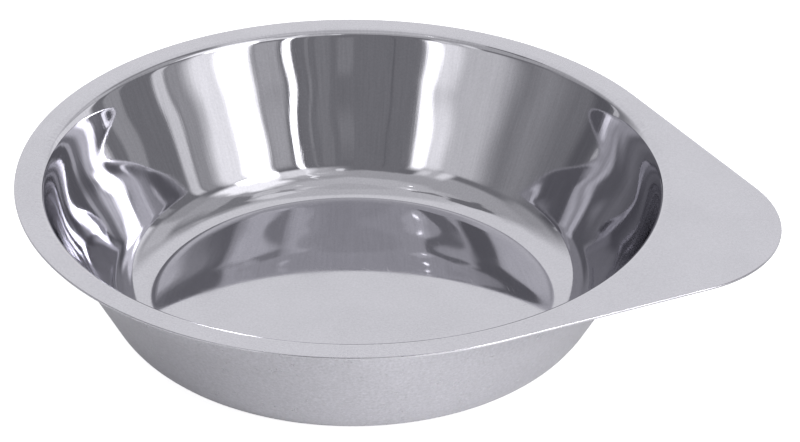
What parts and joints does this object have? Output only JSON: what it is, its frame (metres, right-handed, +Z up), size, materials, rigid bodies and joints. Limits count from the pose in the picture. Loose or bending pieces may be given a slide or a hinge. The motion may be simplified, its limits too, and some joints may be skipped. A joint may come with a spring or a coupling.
{
  "type": "round dish with flat tab handle",
  "caption": "Shallow round pressed-steel dish with a flat turned-out rim that widens into a rounded tab handle at one side; holds instruments, dressings or fluids.",
  "frame": {"origin": "centre of the base's underside, on the bowl's axis, where the dish stands on a surface", "axes": "+X along the handle, +Z up out of the bowl, +Y completes the right-handed set"},
  "size_m": [0.2285, 0.2, 0.0463],
  "materials": {
    "stainless_steel": "polished inside, fine satin on the rim and outside"
  },
  "bodies": {
    "root": {"dish": "stainless_steel"}
  },
  "joints": []
}
